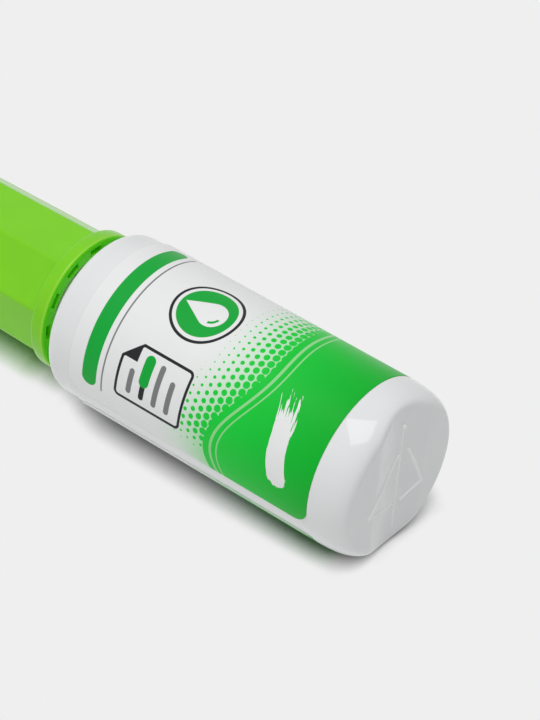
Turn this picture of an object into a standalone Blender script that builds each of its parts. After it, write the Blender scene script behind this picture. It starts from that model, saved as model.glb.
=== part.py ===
"""Correction fluid bottle, lying on its side: bottle, wrap label, screw cap and brush.

Every piece is modelled upright on the bottle's axis, with z = 0 at the base.
One empty then lays the bottle down along X, with the cap towards -X.
Lengths are in metres.
"""
import math

import bmesh
import bpy
from mathutils import Matrix, Vector

# Facets round a turned piece. A flat, not a corner, faces the table.
SEGMENTS = 48
# Facets along the rounded edges and round the other curved faces
HEEL_STEPS = 8
SHOULDER_STEPS = 6
LABEL_CORNER_STEPS = 5
INNER_STEPS = 4
CAP_EDGE_STEPS = 3
FILLET_STEPS = 2
TROUGH_SEGMENTS = 72
BALL_SEGMENTS = 24
BALL_RINGS = 14
SMOOTH_ANGLE = math.radians(30)
MERGE_DISTANCE = 1e-6
# Gap between pieces that touch on the real object
SEAT_GAP = 0.0003

# Label
LABEL_RADIUS = 0.0130
LABEL_THICKNESS = 0.0002
LABEL_LENGTH = 0.0430
LABEL_START = 0.0060
LABEL_GAP_WIDTH = 0.0036
LABEL_GAP_TURN = math.radians(251.5)
LABEL_CORNER_ROUND = 0.0025

# Bottle body
HEEL_STEP = 0.00005
HEEL_RISE = 0.0053
HEEL_INSET = 0.00195
BAND_STEP = 0.00028
BAND_LENGTH = 0.0030
SHOULDER_RISE = 0.0023
SHOULDER_INSET = 0.0026
WALL = 0.00105
BASE_THICKNESS = 0.0024
SHOULDER_THICKNESS = 0.0013
INNER_HEEL_INSET = 0.0016
INNER_HEEL_RISE = 0.0036
INNER_SHOULDER_INSET = 0.0025
INNER_SHOULDER_RISE = 0.0022

# Trough across the base, along the mould's pinch-off line
TROUGH_RADIUS = 0.0100
TROUGH_DEPTH = 0.0010
TROUGH_TURN = math.radians(6.6)

# Neck
NECK_RADIUS = 0.0079
NECK_WALL = 0.00115
NECK_HEIGHT = 0.0100
NECK_ROOT_FILLET = 0.0006
RIM_ROUND = 0.0003

# Wiper plug in the neck
WIPER_FLANGE_INSET = 0.0003
WIPER_FLANGE_THICKNESS = 0.0008
WIPER_WALL = 0.0008
WIPER_DEPTH = 0.0070
WIPER_LIP_THICKNESS = 0.0008
WIPER_LIP_DROP = 0.0010
WIPER_CLEARANCE = 0.0011

# Washer
WASHER_INSET = 0.0003
WASHER_THICKNESS = 0.0010

# Brush
STEM_RADIUS = 0.0020
HEAD_THICKNESS = 0.0012
HEAD_CHAMFER = 0.0003
STEM_TIP_ROUND = 0.0003
SPIGOT_WALL = 0.0012
SPIGOT_HEIGHT = 0.0040
SOCKET_WALL = 0.00045
SOCKET_DEPTH = 0.0050
TIP_CLEARANCE = 0.0036
TUFT_LENGTH = 0.0130
TUFT_BACKING = 0.0006
TUFT_SPLAY = 1.45
TUFT_CROWN = 0.0016
STRANDS_ACROSS = 20
STRAND_SHARE = 0.64
STRAND_POINT = 0.8
ANCHOR_HEIGHT = 0.0018
ANCHOR_THICKNESS = 0.0005
ANCHOR_SIDE_GAP = 0.00045

# Cap
CAP_LIFT_OFF = 0.00185
CAP_LENGTH = 0.0330
CAP_SIDES = 8
CAP_WALL = 0.0012
CAP_DRAFT = math.radians(0.78)
CAP_EDGE_ROUND = 0.0006
CAP_END_WALL = 0.0016
CAP_THREAD_CLEARANCE = 0.0005
CAP_LEDGE_WIDTH = 0.0009
CAP_MOUTH_CHAMFER = 0.0004
CAP_CAVITY_DRAFT = math.radians(0.8)
FLANGE_OVERHANG = 0.0006
FLANGE_HEIGHT = 0.0024
FLANGE_ROUND = 0.0005
POCKET_COUNT = 12
POCKET_INSET = 0.00122
POCKET_WIDTH = 0.0006
POCKET_LENGTH = 0.0020
POCKET_DEPTH = 0.0012
POCKET_FIRST = math.radians(8.0)

# Mixing ball
BALL_RADIUS = 0.0033

# Values that follow from the sizes above
HALF_STEP = math.pi / SEGMENTS
FLAT = math.cos(HALF_STEP)
HEEL_RADIUS = LABEL_RADIUS - HEEL_STEP
BAND_RADIUS = LABEL_RADIUS - BAND_STEP
PANEL_RADIUS = LABEL_RADIUS - LABEL_THICKNESS - SEAT_GAP
BODY_BORE_RADIUS = PANEL_RADIUS - WALL
LABEL_END = LABEL_START + LABEL_LENGTH
BAND_START = LABEL_END + SEAT_GAP
SHOULDER_START = BAND_START + BAND_LENGTH
DECK = SHOULDER_START + SHOULDER_RISE
NECK_TOP = DECK + NECK_HEIGHT
NECK_BORE_RADIUS = NECK_RADIUS - NECK_WALL
WIPER_FLANGE_RADIUS = NECK_RADIUS - WIPER_FLANGE_INSET
WASHER_RADIUS = NECK_RADIUS - WASHER_INSET
WIPER_TOP = NECK_TOP + SEAT_GAP + WIPER_FLANGE_THICKNESS
WASHER_BOTTOM = WIPER_TOP + SEAT_GAP
HEAD_BOTTOM = WASHER_BOTTOM + WASHER_THICKNESS + SEAT_GAP
HEAD_TOP = HEAD_BOTTOM + HEAD_THICKNESS
LEDGE = HEAD_TOP + SEAT_GAP
CAP_MOUTH = DECK + CAP_LIFT_OFF
CAP_END = CAP_MOUTH + CAP_LENGTH
CAP_BORE_RADIUS = NECK_RADIUS + CAP_THREAD_CLEARANCE
CAP_CORNER_RADIUS = (CAP_BORE_RADIUS + CAP_WALL) / math.cos(math.pi / CAP_SIDES)
FLANGE_RADIUS = CAP_CORNER_RADIUS + FLANGE_OVERHANG
POCKET_RADIUS = FLANGE_RADIUS - POCKET_INSET
CAVITY_RADIUS = CAP_BORE_RADIUS - CAP_LEDGE_WIDTH
HEAD_RADIUS = CAP_BORE_RADIUS - SEAT_GAP
SPIGOT_RADIUS = CAVITY_RADIUS - 2 * SEAT_GAP
WIPER_HOLE_RADIUS = STEM_RADIUS + WIPER_CLEARANCE
SOCKET_RADIUS = STEM_RADIUS - SOCKET_WALL
TUFT_RADIUS = SOCKET_RADIUS - SEAT_GAP
TUFT_TIP = BASE_THICKNESS + TIP_CLEARANCE
STEM_END = TUFT_TIP + TUFT_LENGTH
ANCHOR_TOP = STEM_END + SOCKET_DEPTH - SEAT_GAP
TUFT_ROOT = ANCHOR_TOP - ANCHOR_HEIGHT - SEAT_GAP
BALL_OFFSET = BODY_BORE_RADIUS * FLAT - SEAT_GAP - BALL_RADIUS
BALL_HEIGHT = BASE_THICKNESS + SEAT_GAP + BALL_RADIUS
AXIS_HEIGHT = LABEL_RADIUS * FLAT

PARTS_NAME = "correction_fluid_bottle"
CUTTERS_NAME = "cutters"


def clear_scene():
    """Remove everything that the scene holds."""
    for obj in list(bpy.data.objects):
        bpy.data.objects.remove(obj, do_unlink=True)
    for collection in list(bpy.data.collections):
        bpy.data.collections.remove(collection)


def new_collection(name):
    collection = bpy.data.collections.new(name)
    bpy.context.scene.collection.children.link(collection)
    return collection


def material(name, colour, roughness, metallic=0.0):
    """A Principled material of one colour."""
    made = bpy.data.materials.new(name)
    made.use_nodes = True
    shader = made.node_tree.nodes["Principled BSDF"]
    shader.inputs["Base Color"].default_value = (*colour, 1.0)
    shader.inputs["Roughness"].default_value = roughness
    shader.inputs["Metallic"].default_value = metallic
    return made


def add_object(name, mesh, collection, axis):
    """Put a mesh in the scene, upright on the bottle's axis."""
    obj = bpy.data.objects.new(name, mesh)
    collection.objects.link(obj)
    obj.parent = axis
    return obj


def add_cutter(name, mesh, collection, axis):
    """A helper solid for a Boolean, which isn't a piece of the bottle."""
    obj = add_object(name, mesh, collection, axis)
    obj.hide_render = True
    obj.display_type = "WIRE"
    return obj


def finish(obj, surface):
    """Give a piece its material and smooth its round faces."""
    obj.data.materials.append(surface)
    obj.data.shade_smooth()
    obj.data.set_sharp_from_angle(angle=SMOOTH_ANGLE)


def mesh_from(name, bm):
    mesh = bpy.data.meshes.new(name)
    bm.to_mesh(mesh)
    bm.free()
    return mesh


def arc(centre, radii, start, end, steps):
    """Points of an elliptical arc in the (radius, height) plane, ends included."""
    points = []
    for k in range(steps + 1):
        angle = math.radians(start + (end - start) * k / steps)
        points.append((centre[0] + radii[0] * math.cos(angle), centre[1] + radii[1] * math.sin(angle)))
    return points


def profile_mesh(name, points, closed):
    """A chain of edges in the XZ plane, from (radius, height) points."""
    mesh = bpy.data.meshes.new(name)
    edges = [(k, k + 1) for k in range(len(points) - 1)]
    if closed:
        edges.append((len(points) - 1, 0))
    mesh.from_pydata([(radius, 0.0, height) for radius, height in points], edges, [])
    return mesh


def spin(obj):
    """Turn a profile once round the axis."""
    screw = obj.modifiers.new("Turn", "SCREW")
    screw.axis = "Z"
    screw.angle = 2 * math.pi
    screw.steps = SEGMENTS
    screw.render_steps = SEGMENTS
    screw.screw_offset = 0.0
    screw.use_merge_vertices = True
    screw.merge_threshold = MERGE_DISTANCE
    obj.rotation_euler.z = HALF_STEP


def boolean(obj, operation, other):
    cut = obj.modifiers.new(operation.title(), "BOOLEAN")
    cut.operation = operation
    cut.solver = "EXACT"
    cut.object = other


def bottle_profile():
    """Inner floor, inner wall, neck, then the outside from the rim down to the base."""
    shoulder_in = DECK - SHOULDER_THICKNESS
    inner_heel = (BODY_BORE_RADIUS - INNER_HEEL_INSET, BASE_THICKNESS + INNER_HEEL_RISE)
    inner_shoulder = (BODY_BORE_RADIUS - INNER_SHOULDER_INSET, shoulder_in - INNER_SHOULDER_RISE)
    root = (NECK_RADIUS + NECK_ROOT_FILLET, DECK + NECK_ROOT_FILLET)
    rim_out = (NECK_RADIUS - RIM_ROUND, NECK_TOP - RIM_ROUND)
    shoulder = (BAND_RADIUS - SHOULDER_INSET, SHOULDER_START)
    heel = (HEEL_RADIUS - HEEL_INSET, HEEL_RISE)
    points = [(0.0, BASE_THICKNESS)]
    points += arc(inner_heel, (INNER_HEEL_INSET, INNER_HEEL_RISE), -90, 0, INNER_STEPS)
    points += arc(inner_shoulder, (INNER_SHOULDER_INSET, INNER_SHOULDER_RISE), 0, 90, INNER_STEPS)
    points += [(NECK_BORE_RADIUS, shoulder_in), (NECK_BORE_RADIUS, NECK_TOP)]
    points += arc(rim_out, (RIM_ROUND, RIM_ROUND), 90, 0, FILLET_STEPS)
    points += arc(root, (NECK_ROOT_FILLET, NECK_ROOT_FILLET), 180, 270, FILLET_STEPS)
    points += arc(shoulder, (SHOULDER_INSET, SHOULDER_RISE), 90, 0, SHOULDER_STEPS)
    points += [(BAND_RADIUS, BAND_START), (PANEL_RADIUS, BAND_START)]
    points += [(PANEL_RADIUS, LABEL_START - SEAT_GAP), (HEEL_RADIUS, LABEL_START - SEAT_GAP)]
    points += arc(heel, (HEEL_INSET, HEEL_RISE), 0, -90, HEEL_STEPS)
    points.append((0.0, 0.0))
    return points


def build_bottle(parts, cutters, axis):
    """Hollow body with its neck, and the pinch-off trough cut across the base."""
    bottle = add_object("bottle", profile_mesh("bottle", bottle_profile(), False), parts, axis)
    spin(bottle)
    bm = bmesh.new()
    bmesh.ops.create_cone(
        bm, cap_ends=True, segments=TROUGH_SEGMENTS, radius1=TROUGH_RADIUS, radius2=TROUGH_RADIUS,
        depth=4 * HEEL_RADIUS)
    bmesh.ops.rotate(bm, verts=bm.verts, matrix=Matrix.Rotation(math.pi / 2, 3, "Y"))
    trough = add_cutter("trough_cutter", mesh_from("trough_cutter", bm), cutters, axis)
    trough.location = (0.0, 0.0, TROUGH_DEPTH - TROUGH_RADIUS)
    trough.rotation_euler.z = TROUGH_TURN
    boolean(bottle, "DIFFERENCE", trough)
    finish(bottle, material("white_bottle_plastic", (0.86, 0.87, 0.88), 0.25))


def label_gap_mesh():
    """Strip between the label's two ends, wider at both edges so that the corners are round."""
    half = LABEL_GAP_WIDTH / 2
    wide = half + LABEL_CORNER_ROUND
    low = LABEL_START + LABEL_CORNER_ROUND
    high = LABEL_END - LABEL_CORNER_ROUND
    corner = (LABEL_CORNER_ROUND, LABEL_CORNER_ROUND)
    side = [(wide, LABEL_START - LABEL_CORNER_ROUND)]
    side += arc((wide, low), corner, 270, 180, LABEL_CORNER_STEPS)
    side += arc((wide, high), corner, 180, 90, LABEL_CORNER_STEPS)
    side.append((wide, LABEL_END + LABEL_CORNER_ROUND))
    outline = side + [(-across, height) for across, height in reversed(side)]
    bm = bmesh.new()
    verts = [bm.verts.new((LABEL_RADIUS - 2 * WALL, across, height)) for across, height in outline]
    strip = bm.faces.new(verts)
    deep = bmesh.ops.extrude_face_region(bm, geom=[strip], use_keep_orig=True)
    lifted = [item for item in deep["geom"] if isinstance(item, bmesh.types.BMVert)]
    bmesh.ops.translate(bm, verts=lifted, vec=(4 * WALL, 0.0, 0.0))
    bmesh.ops.recalc_face_normals(bm, faces=bm.faces)
    return mesh_from("label_gap_cutter", bm)


def build_label(parts, cutters, axis):
    """Thin sleeve round the body, open where the label's two ends stop short of each other."""
    inner = LABEL_RADIUS - LABEL_THICKNESS
    points = [
        (inner, LABEL_START),
        (inner, LABEL_END),
        (LABEL_RADIUS, LABEL_END),
        (LABEL_RADIUS, LABEL_START),
    ]
    label = add_object("label", profile_mesh("label", points, True), parts, axis)
    spin(label)
    gap = add_cutter("label_gap_cutter", label_gap_mesh(), cutters, axis)
    gap.rotation_euler.z = LABEL_GAP_TURN
    boolean(label, "DIFFERENCE", gap)
    finish(label, material("label_film", (0.90, 0.90, 0.90), 0.35))


def build_wiper(parts, axis):
    """Plug with a rim flange, a tube down the neck and a lip round the brush."""
    outer = NECK_BORE_RADIUS - SEAT_GAP
    inner = outer - WIPER_WALL
    seat = NECK_TOP + SEAT_GAP
    bottom = NECK_TOP - WIPER_DEPTH
    points = [
        (WIPER_HOLE_RADIUS, bottom - WIPER_LIP_DROP),
        (WIPER_HOLE_RADIUS, bottom - WIPER_LIP_DROP + WIPER_LIP_THICKNESS),
        (inner, bottom + WIPER_LIP_THICKNESS),
        (inner, WIPER_TOP),
        (WIPER_FLANGE_RADIUS, WIPER_TOP),
        (WIPER_FLANGE_RADIUS, seat),
        (outer, seat),
        (outer, bottom),
    ]
    wiper = add_object("neck_wiper", profile_mesh("neck_wiper", points, True), parts, axis)
    spin(wiper)
    finish(wiper, material("soft_white_plastic", (0.82, 0.83, 0.82), 0.40))


def build_washer(parts, axis):
    """Flat sealing ring under the brush's head."""
    hole = STEM_RADIUS + SEAT_GAP
    top = WASHER_BOTTOM + WASHER_THICKNESS
    points = [(hole, WASHER_BOTTOM), (hole, top), (WASHER_RADIUS, top), (WASHER_RADIUS, WASHER_BOTTOM)]
    washer = add_object("sealing_washer", profile_mesh("sealing_washer", points, True), parts, axis)
    spin(washer)
    finish(washer, material("washer_foam", (0.75, 0.76, 0.74), 0.70))


def build_stem(parts, axis):
    """Rod with a socket for the bristles, and a head whose spigot plugs into the cap."""
    spigot_in = SPIGOT_RADIUS - SPIGOT_WALL
    spigot_top = HEAD_TOP + SPIGOT_HEIGHT
    points = [
        (0.0, HEAD_TOP),
        (spigot_in, HEAD_TOP),
        (spigot_in, spigot_top),
        (SPIGOT_RADIUS, spigot_top),
        (SPIGOT_RADIUS, HEAD_TOP),
        (HEAD_RADIUS, HEAD_TOP),
        (HEAD_RADIUS, HEAD_BOTTOM + HEAD_CHAMFER),
        (HEAD_RADIUS - HEAD_CHAMFER, HEAD_BOTTOM),
        (STEM_RADIUS, HEAD_BOTTOM),
        (STEM_RADIUS, STEM_END + STEM_TIP_ROUND),
        (STEM_RADIUS - STEM_TIP_ROUND, STEM_END),
        (SOCKET_RADIUS, STEM_END),
        (SOCKET_RADIUS, STEM_END + SOCKET_DEPTH),
        (0.0, STEM_END + SOCKET_DEPTH),
    ]
    stem = add_object("brush_stem", profile_mesh("brush_stem", points, False), parts, axis)
    spin(stem)
    finish(stem, material("stem_plastic", (0.80, 0.81, 0.80), 0.35))


def build_anchor(parts, axis):
    """Metal plate across the socket, over which the bristles are folded."""
    width = 2 * (SOCKET_RADIUS * FLAT - ANCHOR_SIDE_GAP)
    bm = bmesh.new()
    bmesh.ops.create_cube(bm, size=1.0)
    bmesh.ops.scale(bm, verts=bm.verts, vec=(width, ANCHOR_THICKNESS, ANCHOR_HEIGHT))
    anchor = add_object("bristle_anchor", mesh_from("bristle_anchor", bm), parts, axis)
    anchor.location.z = ANCHOR_TOP - ANCHOR_HEIGHT / 2
    finish(anchor, material("anchor_metal", (0.72, 0.70, 0.66), 0.30, 1.0))


def tuft_mesh():
    """Square strands on a round backing. Each cell of a grid gives one strand."""
    reach_down = TUFT_ROOT - TUFT_TIP - TUFT_BACKING
    bm = bmesh.new()
    bmesh.ops.create_grid(bm, x_segments=STRANDS_ACROSS, y_segments=STRANDS_ACROSS, size=TUFT_RADIUS)
    reach = TUFT_RADIUS * (1.0 - 0.5 / STRANDS_ACROSS)
    outside = [face for face in bm.faces if face.calc_center_median().length > reach]
    bmesh.ops.delete(bm, geom=outside, context="FACES")
    cells = list(bm.faces)
    back = bmesh.ops.extrude_face_region(bm, geom=cells, use_keep_orig=True)
    lifted = [item for item in back["geom"] if isinstance(item, bmesh.types.BMVert)]
    bmesh.ops.translate(bm, verts=lifted, vec=(0.0, 0.0, TUFT_BACKING))
    bmesh.ops.recalc_face_normals(bm, faces=bm.faces)
    side = TUFT_RADIUS * 2 / STRANDS_ACROSS
    bmesh.ops.inset_individual(bm, faces=cells, thickness=side * (1.0 - STRAND_SHARE) / 2)
    grown = bmesh.ops.extrude_discrete_faces(bm, faces=cells)
    for face in grown["faces"]:
        centre = face.calc_center_median()
        crown = TUFT_CROWN * (centre.length / TUFT_RADIUS) ** 2
        tip = Vector((centre.x * TUFT_SPLAY, centre.y * TUFT_SPLAY, crown - reach_down))
        for vert in face.verts:
            vert.co = tip + (vert.co - centre) * STRAND_POINT
    return mesh_from("bristle_tuft", bm)


def build_tuft(parts, axis):
    """Bristles from the anchor plate, out of the socket, down to the tip."""
    tuft = add_object("bristle_tuft", tuft_mesh(), parts, axis)
    tuft.location.z = TUFT_ROOT - TUFT_BACKING
    tuft.data.materials.append(material("bristle_nylon", (0.78, 0.76, 0.68), 0.45))


def build_ball(parts, axis):
    """Loose steel ball on the bottle's lower wall, against the base."""
    bm = bmesh.new()
    bmesh.ops.create_uvsphere(bm, u_segments=BALL_SEGMENTS, v_segments=BALL_RINGS, radius=BALL_RADIUS)
    ball = add_object("mixing_ball", mesh_from("mixing_ball", bm), parts, axis)
    ball.location = (-BALL_OFFSET, 0.0, BALL_HEIGHT)
    finish(ball, material("ball_steel", (0.62, 0.63, 0.65), 0.15, 1.0))


def flange_profile():
    """Solid disc with both outer edges rounded."""
    top = CAP_MOUTH + FLANGE_HEIGHT
    edge = FLANGE_RADIUS - FLANGE_ROUND
    points = [(0.0, top)]
    points += arc((edge, top - FLANGE_ROUND), (FLANGE_ROUND, FLANGE_ROUND), 90, 0, CAP_EDGE_STEPS)
    points += arc((edge, CAP_MOUTH + FLANGE_ROUND), (FLANGE_ROUND, FLANGE_ROUND), 0, -90, CAP_EDGE_STEPS)
    points.append((0.0, CAP_MOUTH))
    return points


def cap_bore_profile():
    """Space inside the cap: tapered cavity, ledge for the brush's head, then the neck's bore."""
    cavity_top = CAP_END - CAP_END_WALL
    narrow = CAVITY_RADIUS - (cavity_top - LEDGE) * math.tan(CAP_CAVITY_DRAFT)
    below = CAP_MOUTH - CAP_MOUTH_CHAMFER
    return [
        (0.0, cavity_top),
        (narrow, cavity_top),
        (CAVITY_RADIUS, LEDGE),
        (CAP_BORE_RADIUS, LEDGE),
        (CAP_BORE_RADIUS, CAP_MOUTH + CAP_MOUTH_CHAMFER),
        (CAP_BORE_RADIUS + 2 * CAP_MOUTH_CHAMFER, below),
        (0.0, below),
    ]


def pocket_mesh():
    """Ring of boxes, sunk into the underside of the flange."""
    bm = bmesh.new()
    for k in range(POCKET_COUNT):
        made = bmesh.ops.create_cube(bm, size=1.0)
        turn = Matrix.Rotation(POCKET_FIRST + 2 * math.pi * k / POCKET_COUNT, 4, "Z")
        place = Matrix.Translation((POCKET_RADIUS, 0.0, CAP_MOUTH))
        size = Matrix.Diagonal((POCKET_WIDTH, POCKET_LENGTH, 2 * POCKET_DEPTH, 1.0))
        bmesh.ops.transform(bm, matrix=turn @ place @ size, verts=made["verts"])
    return mesh_from("pocket_cutter", bm)


def build_cap(parts, cutters, axis):
    """Tapered octagon on a round flange, bored out and pocketed."""
    foot = CAP_MOUTH + FLANGE_HEIGHT / 2
    height = CAP_END - foot
    narrow = CAP_CORNER_RADIUS - height * math.tan(CAP_DRAFT)
    bm = bmesh.new()
    bmesh.ops.create_cone(
        bm, cap_ends=True, segments=CAP_SIDES, radius1=CAP_CORNER_RADIUS, radius2=narrow, depth=height)
    half_side = Matrix.Rotation(math.pi / CAP_SIDES, 3, "Z")
    bmesh.ops.rotate(bm, verts=bm.verts, matrix=half_side)
    bmesh.ops.translate(bm, verts=bm.verts, vec=(0.0, 0.0, foot + height / 2))
    cap = add_object("cap_shell", mesh_from("cap_shell", bm), parts, axis)
    edges = cap.modifiers.new("Soft edges", "BEVEL")
    edges.width = CAP_EDGE_ROUND
    edges.segments = CAP_EDGE_STEPS
    edges.limit_method = "ANGLE"
    edges.angle_limit = SMOOTH_ANGLE
    flange = add_cutter("flange_disc", profile_mesh("flange_disc", flange_profile(), False), cutters, axis)
    bore_profile = profile_mesh("cap_bore_cutter", cap_bore_profile(), False)
    bore = add_cutter("cap_bore_cutter", bore_profile, cutters, axis)
    pockets = add_cutter("pocket_cutter", pocket_mesh(), cutters, axis)
    spin(flange)
    spin(bore)
    boolean(cap, "UNION", flange)
    boolean(cap, "DIFFERENCE", bore)
    boolean(cap, "DIFFERENCE", pockets)
    finish(cap, material("green_cap_plastic", (0.20, 0.62, 0.03), 0.30))


def main():
    clear_scene()
    parts = new_collection(PARTS_NAME)
    cutters = new_collection(CUTTERS_NAME)
    axis = bpy.data.objects.new("bottle_axis", None)
    parts.objects.link(axis)
    axis.location = (CAP_END / 2, 0.0, AXIS_HEIGHT)
    axis.rotation_euler = (0.0, -math.pi / 2, 0.0)
    build_bottle(parts, cutters, axis)
    build_label(parts, cutters, axis)
    build_wiper(parts, axis)
    build_washer(parts, axis)
    build_stem(parts, axis)
    build_anchor(parts, axis)
    build_tuft(parts, axis)
    build_ball(parts, axis)
    build_cap(parts, cutters, axis)


main()
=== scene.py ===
"""Looks of a correction fluid bottle that lies on its side.

Most pieces are turned or lofted round the bottle's axis, in radius, turn and height.
Height runs from the base towards the cap. Turn 0 points up, and a quarter turn points to +Y.
Lengths are in metres. The label's print and the lines on the base are laid out in millimetres.
Colours are linear.
"""
import math

import bmesh
import bpy
import numpy as np
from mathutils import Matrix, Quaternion, Vector


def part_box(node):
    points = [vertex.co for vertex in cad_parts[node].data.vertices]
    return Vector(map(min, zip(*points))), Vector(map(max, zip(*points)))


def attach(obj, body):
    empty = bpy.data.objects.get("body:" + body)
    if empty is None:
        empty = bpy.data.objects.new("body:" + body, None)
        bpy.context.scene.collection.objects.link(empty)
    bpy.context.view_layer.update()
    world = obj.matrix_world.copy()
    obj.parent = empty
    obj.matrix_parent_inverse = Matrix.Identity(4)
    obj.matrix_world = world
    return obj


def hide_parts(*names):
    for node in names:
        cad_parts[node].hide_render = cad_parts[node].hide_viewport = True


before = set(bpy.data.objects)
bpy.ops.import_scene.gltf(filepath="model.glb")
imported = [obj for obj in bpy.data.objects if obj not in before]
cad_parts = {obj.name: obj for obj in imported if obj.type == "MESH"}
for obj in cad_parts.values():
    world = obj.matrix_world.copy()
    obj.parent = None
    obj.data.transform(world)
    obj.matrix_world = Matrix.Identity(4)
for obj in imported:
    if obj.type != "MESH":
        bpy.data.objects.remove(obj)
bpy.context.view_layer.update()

MM = 0.001
TAU = 2 * math.pi

# Camera, solved from the photograph
CAMERA_PLACE = (0.196805, -0.213824, 0.284711)
CAMERA_AZIMUTH = math.radians(39.285)
CAMERA_ELEVATION = math.radians(43.577)
CAMERA_NEAR = 0.01
CAMERA_FAR = 10.0
FOCAL_PIXELS = 2769.8
IMAGE_WIDTH_PIXELS = 540
SENSOR_WIDTH = 36.0

# Places taken from the frame
bottle_low, bottle_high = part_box("bottle")
label_low, label_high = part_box("label")
wiper_low, wiper_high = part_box("neck_wiper")
washer_low, washer_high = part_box("sealing_washer")
stem_low, stem_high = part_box("brush_stem")
tuft_low, tuft_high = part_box("bristle_tuft")
ball_low, ball_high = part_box("mixing_ball")
cap_low, cap_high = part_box("cap_shell")
BASE = bottle_high.x
AXIS = (label_low.z + label_high.z) / 2

# Fineness of the meshes
SEGMENTS = 256
STEM_SEGMENTS = 192
FILLET_STEPS = 6
SHARP_ANGLE = math.radians(40)
MERGE_DISTANCE = 1e-7

# Label
LABEL_RADIUS = (label_high.z - label_low.z) / 2
LABEL_START = BASE - label_high.x
LABEL_END = BASE - label_low.x
LABEL_LENGTH = LABEL_END - LABEL_START
LABEL_FILM = 0.12 * MM
LABEL_GAP = 3.6 * MM
LABEL_GAP_TURN = math.radians(251.5)
LABEL_WIDTH = TAU * LABEL_RADIUS - LABEL_GAP
LABEL_CORNER = 2.5 * MM
LABEL_CORNER_STEPS = 12
LABEL_ROWS = 20
LABEL_MAP = "unrolled"

# Bottle's heel, and the panel under the label
HEEL_RADIUS = LABEL_RADIUS
HEEL_RISE = 6.75 * MM
HEEL_INSET = 2.31 * MM
HEEL_POWER = 2.6
HEEL_STEPS = 60
HEEL_END = LABEL_START - 0.25 * MM
HEEL_LIP_RADIUS = HEEL_RADIUS - 0.02 * MM
HEEL_LIP_HEIGHT = LABEL_START - 0.12 * MM
FILM_SINK = 0.003 * MM
PANEL_RADIUS = LABEL_RADIUS - LABEL_FILM + FILM_SINK
PANEL_START = LABEL_START - 0.04 * MM
PANEL_END = LABEL_END - 0.1 * MM

# Bottle's shoulder and neck
BAND_STEP = 0.28 * MM
BAND_RADIUS = LABEL_RADIUS - BAND_STEP
BAND_START = LABEL_END + 0.25 * MM
BAND_LENGTH = 3.1 * MM
SHOULDER_RISE = 2.2 * MM
SHOULDER_INSET = 2.6 * MM
SHOULDER_POWER = 2.3
SHOULDER_STEPS = 24
SHOULDER_START = LABEL_END + BAND_LENGTH
DECK = SHOULDER_START + SHOULDER_RISE
DECK_LEDGE = 0.2 * MM
NECK_TOP = BASE - bottle_low.x
NECK_RADIUS = 7.9 * MM
NECK_ROOT_ROUND = 0.6 * MM
NECK_RIM_ROUND = 0.3 * MM

# Inside of the bottle
NECK_BORE = 6.75 * MM
NECK_BORE_ROUND = 0.5 * MM
BODY_BORE = 11.45 * MM
INNER_SHOULDER_ROUND = 2.2 * MM
INNER_HEEL_ROUND = 2.4 * MM
BASE_THICKNESS = 2.4 * MM
SHOULDER_THICKNESS = 1.3 * MM

# Base, with a trough along the line where the mould pinched the plastic off
BASE_RINGS = 72
TROUGH_RADIUS = 10.0 * MM
TROUGH_DEPTH = 1.0 * MM
TROUGH_TURN = math.radians(6.6)
TROUGH_BLEND = 1.0 * MM

# Raised lines on the base: name, width, rise and corners (across, up, rounding), in millimetres
BASE_LINES = (
    ("pinch_off_seam", 0.5, 0.2, [(1.73, 8.5), (-0.25, -9.7)]),
    ("pinch_off_tip", 0.8, 0.45, [(1.8, 8.8), (1.65, 8.1)]),
    ("base_mark_left", 0.65, 0.26, [
        (0.79, 3.8), (-0.88, 1.92), (-2.98, 0.59), (-5.28, -0.45), (-6.9, -2.25, 0.15),
        (-5.55, -2.67), (-3.5, -3.86), (-1.65, -4.78), (-0.2, -5.1)]),
    ("base_mark_right", 0.65, 0.26, [
        (2.73, 3.91), (3.91, 0.09), (5.15, -3.85, 0.15), (3.16, -4.61), (1.2, -5.4)]),
)
LINE_SPACING = 0.08 * MM
LINE_LEAST_STATIONS = 24
LINE_STEPS = 17
LINE_SINK = 0.05 * MM

# Screw thread
THREAD_PITCH = 3.0 * MM
THREAD_TURNS = 1.7
THREAD_STEPS_PER_TURN = 96
THREAD_RUN_OUT = 0.12
THREAD_RISE = 0.36 * MM
THREAD_WIDTH = 1.1 * MM
THREAD_CREST = 0.45
THREAD_ROUND = 0.1 * MM
THREAD_SINK = 0.08 * MM
THREAD_START = 3.2 * MM

# Cap's outside
CAP_MOUTH_SHIFT = 0.35 * MM
CAP_MOUTH = BASE - cap_high.x - CAP_MOUTH_SHIFT
CAP_END = BASE - cap_low.x
CAP_SIDES = 8
CAP_APOTHEM = 9.6 * MM
CAP_DRAFT = math.tan(math.radians(0.72))
CAP_CORNER = 1.0 * MM
CAP_CORNER_DEGREES = 2.5
CAP_FOOT = 0.3 * MM
CAP_WALL_STEPS = 8
CAP_END_ROUND = 0.7 * MM
CAP_END_STEPS = 8
CAP_END_RING = 0.9
FLANGE_RADIUS = (cap_high.y - cap_low.y) / 2
FLANGE_HEIGHT = 2.4 * MM
FLANGE_ROUND = 0.5 * MM
FLANGE_MOUTH_ROUND = 0.4 * MM
FLANGE_LEDGE = 0.6 * MM

# Cap's inside
CAP_BORE = 8.4 * MM
CAP_LEDGE = 68.8 * MM
CAP_LEDGE_ROUND = 0.2 * MM
CAP_END_WALL = 1.6 * MM
CAVITY_RADIUS = 7.5 * MM
CAVITY_DRAFT = math.tan(math.radians(0.8))
CAVITY_ROUND = 0.8 * MM
MOUTH_CHAMFER_WIDTH = 0.3 * MM
MOUTH_CHAMFER_DEPTH = 0.2 * MM
MOUTH_CHAMFER_INNER_ROUND = 0.2 * MM
MOUTH_CHAMFER_OUTER_ROUND = 0.15 * MM

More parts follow.
